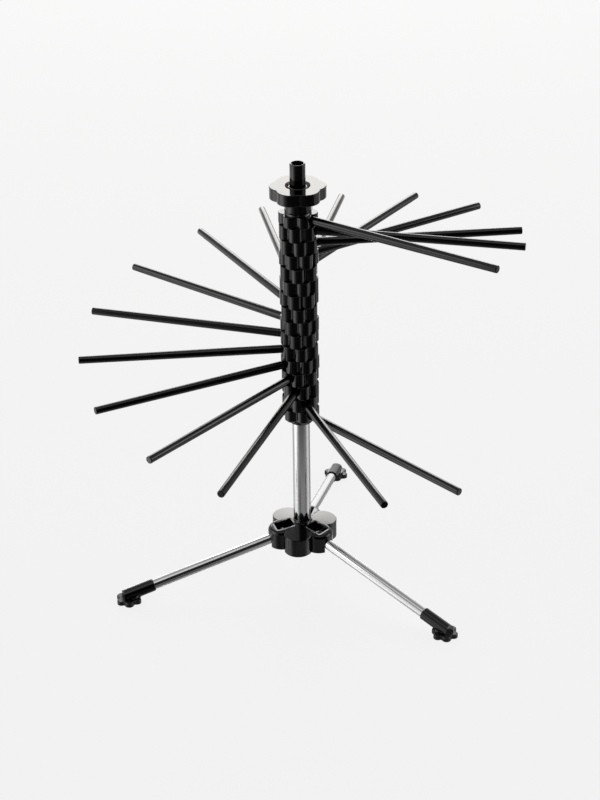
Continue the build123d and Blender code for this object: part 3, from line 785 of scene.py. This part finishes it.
class RACK_OT_hub(bpy.types.Operator):
    """Make the rims of the hub's windows and give the hub, its cover, pins and screws their finishes"""
    bl_idname = "rack.hub"
    bl_label = "Finish hub"

    def execute(self, context):
        sizes = context.scene.rack_sizes
        low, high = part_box("hub_body")
        places = vertices_of("hub_body")
        hub_reach = np.hypot(places[:, 0], places[:, 1]).max()
        tube_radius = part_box("mast_tube")[1][0]
        slope = (high[2] - low[2] - sizes.hub_rise) / (hub_reach - tube_radius)
        profile = [(offset * MM, rise * MM) for offset, rise in RIM_SECTION]
        rims = []
        for number in (1, 2, 3):
            grid = window_rows(
                profile, azimuth_of(f"leg_tube_{number}"), (sizes.window_inner + sizes.window_outer) / 2,
                (sizes.window_outer - sizes.window_inner) / 2, sizes.window_width / 2, sizes.window_corner,
                low[2] + sizes.hub_rise + slope * hub_reach, slope)
            rims.append(surface(f"window_rim_{number}", grid, "stand", [], closed=True))
        material_on(cad("hub_body") + rims, bpy.data.materials["Polished moulding"])
        hidden = cad("hub_cover", "mast_plug", "stack_stop", "thread_bush")
        material_on(hidden, bpy.data.materials["Plain moulding"])
        fasteners = cad("leg_pins", "cover_screws", "mast_screw", "thrust_washer")
        material_on(fasteners, bpy.data.materials["Zinc bright"])
        return {"FINISHED"}


class RACK_OT_legs(bpy.types.Operator):
    """Make the leg tubes and finish the knuckles, elbows and pads"""
    bl_idname = "rack.legs"
    bl_label = "Make legs"

    def execute(self, context):
        sizes = context.scene.rack_sizes
        for number in (1, 2, 3):
            inner, outer = axis_of_leg(number)
            length = float(np.linalg.norm(outer - inner))
            radius, lip = sizes.leg_radius, 0.15 * MM
            bore = radius - sizes.leg_wall
            profile = [(0.0, bore)] + arc((lip, radius - lip), lip, 180, 90, 4)
            profile += [(d, radius) for d in steps(2 * lip, length - lip, 10)]
            profile += [(length, radius - lip), (length, bore)]
            tube = surface(
                f"leg_polished_tube_{number}", turned_rows(profile, 72, inner, outer - inner),
                f"leg_{number}", [f"leg_tube_{number}"], closed=True)
            material_on([tube], bpy.data.materials["Polished tube"])
            mouldings = cad(f"leg_knuckle_{number}", f"foot_elbow_{number}")
            material_on(mouldings, bpy.data.materials["Polished moulding"])
            material_on(cad(f"foot_pad_{number}"), bpy.data.materials["Pad rubber"])
        return {"FINISHED"}


class RACK_OT_stage(bpy.types.Operator):
    """Set the floor, the lamps and the camera"""
    bl_idname = "rack.stage"
    bl_label = "Set stage"

    def execute(self, context):
        scene = context.scene
        colours = scene.rack_colours
        make_floor(tuple(colours.floor))
        make_lamps(colours.lamp_level)
        make_camera()
        scene.view_settings.view_transform = "Standard"
        return {"FINISHED"}


def make_floor(colour):
    """Round floor, flat, its rows at growing reach from the middle; and the world behind it."""
    turns = steps(0, 2 * pi, 97)[:-1]
    reach = np.array([0.05, 0.3, 1.0, 3.0, 9.0])
    points = np.stack([
        reach[:, None] * np.cos(turns), reach[:, None] * np.sin(turns), np.full((5, 96), -0.0002)], axis=-1)
    mesh = bpy.data.meshes.new("studio_floor")
    i, j = np.arange(4)[:, None], np.arange(96)
    beside = (j + 1) % 96
    faces = np.stack([i * 96 + j, (i + 1) * 96 + j, (i + 1) * 96 + beside, i * 96 + beside], axis=-1)
    everything = np.vstack([points.reshape(-1, 3), [[0, 0, -0.0002]]])
    middle = np.stack([j, beside, np.full(96, len(everything) - 1)], axis=-1)
    mesh.from_pydata(everything.tolist(), [], faces.reshape(-1, 4).tolist() + middle.tolist())
    floor = bpy.data.objects.new("studio_floor", mesh)
    bpy.context.scene.collection.objects.link(floor)
    material = bpy.data.materials.new("Studio floor")
    material.use_nodes = True
    tree = material.node_tree
    tree.nodes.remove(tree.nodes["Principled BSDF"])
    matte = tree.nodes.new("ShaderNodeBsdfDiffuse")
    glow = tree.nodes.new("ShaderNodeEmission")
    gloss = tree.nodes.new("ShaderNodeBsdfGlossy")
    both = tree.nodes.new("ShaderNodeAddShader")
    all_three = tree.nodes.new("ShaderNodeAddShader")
    path = tree.nodes.new("ShaderNodeLightPath")
    matte.inputs["Color"].default_value = (0.13, 0.13, 0.13, 1)
    glow.inputs["Color"].default_value = (1, 1, 1, 1)
    mirrored = math(tree, "MAXIMUM", path.outputs["Is Glossy Ray"], path.outputs["Is Transmission Ray"])
    # Painted light: in mirrors the floor glows where lamps would light it, with a painted shadow beside the
    # leg.
    in_mirror = math(tree, "MULTIPLY", mirrored, painted_floor_light(tree))
    to_camera = math(tree, "MULTIPLY", path.outputs["Is Camera Ray"], colour[0] - 0.065)
    tree.links.new(math(tree, "ADD", in_mirror, to_camera), glow.inputs["Strength"])
    tree.links.new(matte.outputs[0], both.inputs[0])
    tree.links.new(glow.outputs[0], both.inputs[1])
    gloss.inputs["Roughness"].default_value = 0.3
    tree.links.new(math(tree, "MULTIPLY", mirrored, floor_gloss(tree)), gloss.inputs["Color"])
    tree.links.new(both.outputs[0], all_three.inputs[0])
    tree.links.new(gloss.outputs[0], all_three.inputs[1])
    tree.links.new(all_three.outputs[0], tree.nodes["Material Output"].inputs["Surface"])
    material_on([floor], material)
    world = bpy.data.worlds.new("Studio air")
    bpy.context.scene.world = world
    world.use_nodes = True
    tree = world.node_tree
    air = tree.nodes["Background"]
    air.inputs["Color"].default_value = (1, 1, 1, 1)
    path = tree.nodes.new("ShaderNodeLightPath")
    mirrored = math(tree, "MAXIMUM", path.outputs["Is Glossy Ray"], path.outputs["Is Transmission Ray"])
    in_mirror = math(tree, "MULTIPLY", mirrored, air_in_mirrors(tree))
    to_camera = math(tree, "MULTIPLY", path.outputs["Is Camera Ray"], colour[0])
    tree.links.new(math(tree, "ADD", in_mirror, to_camera), air.inputs["Strength"])


def axes_of(tree, coordinates):
    """The three parts of a Texture Coordinate output."""
    place = tree.nodes.new("ShaderNodeTexCoord")
    split = tree.nodes.new("ShaderNodeSeparateXYZ")
    tree.links.new(place.outputs[coordinates], split.inputs["Vector"])
    return split.outputs["X"], split.outputs["Y"], split.outputs["Z"]


def floor_gloss(tree):
    """Share of the light that the floor mirrors: most in front and at the left."""
    x, y, _ = axes_of(tree, "Object")
    return math(tree, "MINIMUM", ramp(tree, y, 0.0, 0.12, 0.66, 0.17), ramp(tree, x, 0.02, 0.13, 0.66, 0.28))


def painted_floor_light(tree):
    """Painted light on the floor that only the rack's gloss sees: a glow standing in for the lamps' light on
    it.
    Little close by, with a painted shadow beside the leg, and more at the left and far behind."""
    x, y, _ = axes_of(tree, "Object")
    near = ramp(tree, y, -0.36, -0.16, 0.0, 0.2)
    # Painted shadow: the floor's glow is taken down beside the leg.
    painted_leg_shadow = ramp(tree, x, -0.02, -0.06, 0.0, 0.16)
    painted_leg_shadow = math(tree, "MULTIPLY", painted_leg_shadow, ramp(tree, y, -0.2, -0.14, 0.0, 1.0))
    near = math(tree, "MAXIMUM", math(tree, "SUBTRACT", near, painted_leg_shadow), 0.0)
    left = math(tree, "MULTIPLY", ramp(tree, x, -0.2, -0.36, 0.0, 0.5), ramp(tree, y, -0.7, -0.35, 0.0, 1.0))
    back = math(tree, "MULTIPLY", ramp(tree, x, -0.03, -0.12, 0.0, 0.4), ramp(tree, y, -0.02, 0.06))
    far = math(tree, "ADD", ramp(tree, y, 0.4, 0.9, 0.0, 0.6), ramp(tree, x, -0.7, -1.0, 0.0, 0.2))
    return math(tree, "ADD", math(tree, "ADD", near, math(tree, "MAXIMUM", left, back)), far)


def air_in_mirrors(tree):
    """Brightness of the air beyond the floor as the gloss of the rack shows it, by direction:
    black in front, pale at the left, grey behind, and pale overhead."""
    x, y, z = axes_of(tree, "Generated")
    behind = math(tree, "ADD", ramp(tree, y, -0.35, 0.1, 0.02, 0.4), ramp(tree, y, 0.7, 0.93, 0.0, 0.8))
    left = ramp(tree, x, -0.45, -0.85, 0.0, 0.95)
    overhead = ramp(tree, z, 0.78, 0.9, 0.0, 0.9)
    overhead = math(tree, "MULTIPLY", overhead, ramp(tree, y, 0.25, -0.1, 0.3, 1.0))
    return math(tree, "MAXIMUM", math(tree, "MAXIMUM", behind, left), overhead)


def make_lamps(level):
    """Soft boxes as area lamps, each aimed at the middle of the rack."""
    target = Vector((0, 0, 0.25))
    for name, place, size, power, colour in SOFT_BOXES:
        lamp = bpy.data.lights.new(name, "AREA")
        lamp.shape = "RECTANGLE"
        lamp.size, lamp.size_y = size
        lamp.energy = power * level
        lamp.color = colour
        holder = bpy.data.objects.new(name, lamp)
        bpy.context.scene.collection.objects.link(holder)
        holder.location = place
        holder.rotation_mode = "QUATERNION"
        holder.rotation_quaternion = (target - Vector(place)).to_track_quat("-Z", "Y")


def make_camera():
    """Camera at the photograph's angle: the distance, height and roll that fit its rods."""
    elevation, roll = radians(CAMERA_ELEVATION), radians(CAMERA_ROLL)
    ahead = Vector((0, cos(elevation), -sin(elevation)))
    side, up = Vector((1, 0, 0)), Vector((0, sin(elevation), cos(elevation)))
    across = side * cos(roll) + up * sin(roll)
    upward = -side * sin(roll) + up * cos(roll)
    data = bpy.data.cameras.new("photo_camera")
    data.lens = FOCAL_PIXELS / PICTURE_HEIGHT * data.sensor_width
    camera = bpy.data.objects.new("photo_camera", data)
    bpy.context.scene.collection.objects.link(camera)
    place = Vector((CAMERA_SHIFT, 0, CAMERA_AIM)) - ahead * CAMERA_DISTANCE
    turn = Matrix((across, upward, -ahead)).transposed().to_4x4()
    camera.matrix_world = Matrix.Translation(place) @ turn
    bpy.context.scene.camera = camera


class RACK_PT_panel(bpy.types.Panel):
    """Lists the rack's steps and settings"""
    bl_idname = "RACK_PT_panel"
    bl_label = "Drying rack"
    bl_space_type = "VIEW_3D"
    bl_region_type = "UI"
    bl_category = "Drying rack"

    def draw(self, context):
        for step in STEPS:
            self.layout.operator(step.bl_idname)
        for settings in (context.scene.rack_sizes, context.scene.rack_colours):
            for label in settings.__annotations__:
                self.layout.prop(settings, label)


STEPS = (
    RACK_OT_finishes, RACK_OT_rings, RACK_OT_rods, RACK_OT_mast, RACK_OT_knob, RACK_OT_hub, RACK_OT_legs,
    RACK_OT_stage,
)
CLASSES = (RackSizes, RackColours) + STEPS + (RACK_PT_panel,)


def register():
    """Registers the classes and hangs the settings on the scene."""
    for item in CLASSES:
        bpy.utils.register_class(item)
    bpy.types.Scene.rack_sizes = bpy.props.PointerProperty(type=RackSizes)
    bpy.types.Scene.rack_colours = bpy.props.PointerProperty(type=RackColours)


def unregister():
    """Takes the settings and the classes away again."""
    del bpy.types.Scene.rack_colours
    del bpy.types.Scene.rack_sizes
    for item in reversed(CLASSES):
        bpy.utils.unregister_class(item)


def main():
    """Registers the add-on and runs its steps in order."""
    register()
    for step in STEPS:
        group, name = step.bl_idname.split(".")
        getattr(getattr(bpy.ops, group), name)()


if __name__ == "__main__":
    main()
